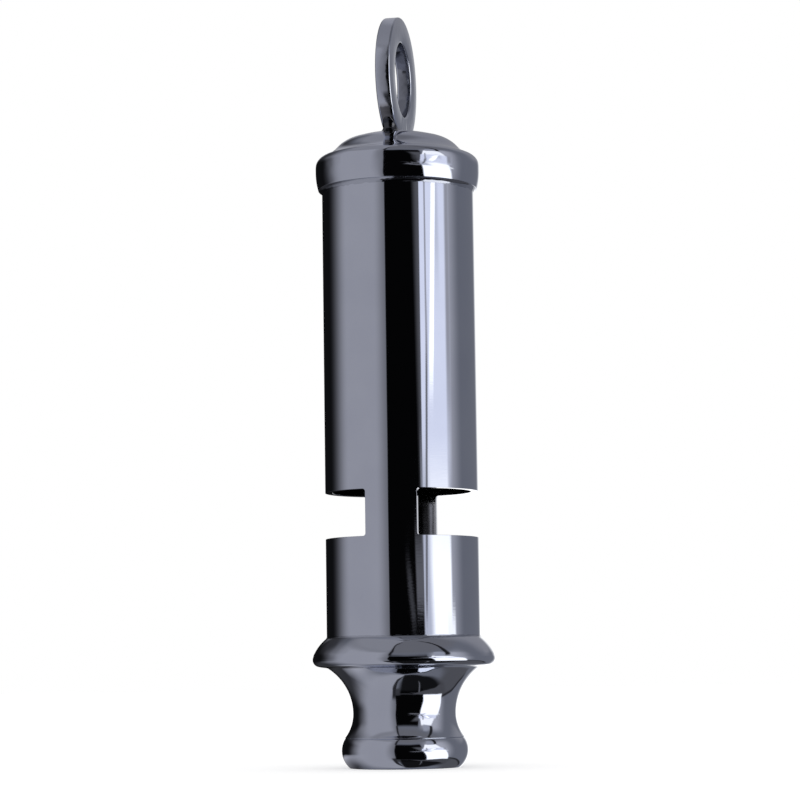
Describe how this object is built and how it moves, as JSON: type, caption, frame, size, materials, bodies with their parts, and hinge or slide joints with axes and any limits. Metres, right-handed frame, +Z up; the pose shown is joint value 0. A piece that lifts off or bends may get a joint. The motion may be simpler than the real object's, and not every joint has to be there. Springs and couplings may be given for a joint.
{
  "type": "tube whistle",
  "caption": "Pealess tube whistle in plated brass: waisted mouthpiece with a bead flange, side windows, stepped domed cap and a fixed loop for a key ring or chain.",
  "frame": {"origin": "centre of the mouth end's flat face, on which the whistle stands", "axes": "+Z up the barrel from the mouth end to the loop; the two windows face -X and +X; the posts between them face -Y and +Y"},
  "size_m": [0.0196, 0.0196, 0.0815],
  "materials": {
    "plated_brass": "bright bluish grey chromium plate over brass",
    "plated_solder": "polished and plated over soft solder",
    "bare_brass": "turned brass, dulled by the soldering heat"
  },
  "bodies": {
    "root": {"mouthpiece": "plated_brass", "mouthpiece_solder": "plated_solder", "windway_block_left": "plated_brass", "windway_block_right": "plated_brass", "partition": "plated_brass", "barrel": "plated_brass", "chamber_stop": "bare_brass", "end_disc": "bare_brass", "top_cap": "plated_brass", "cap_solder": "plated_solder", "loop": "plated_brass", "loop_solder": "plated_solder"}
  },
  "joints": []
}
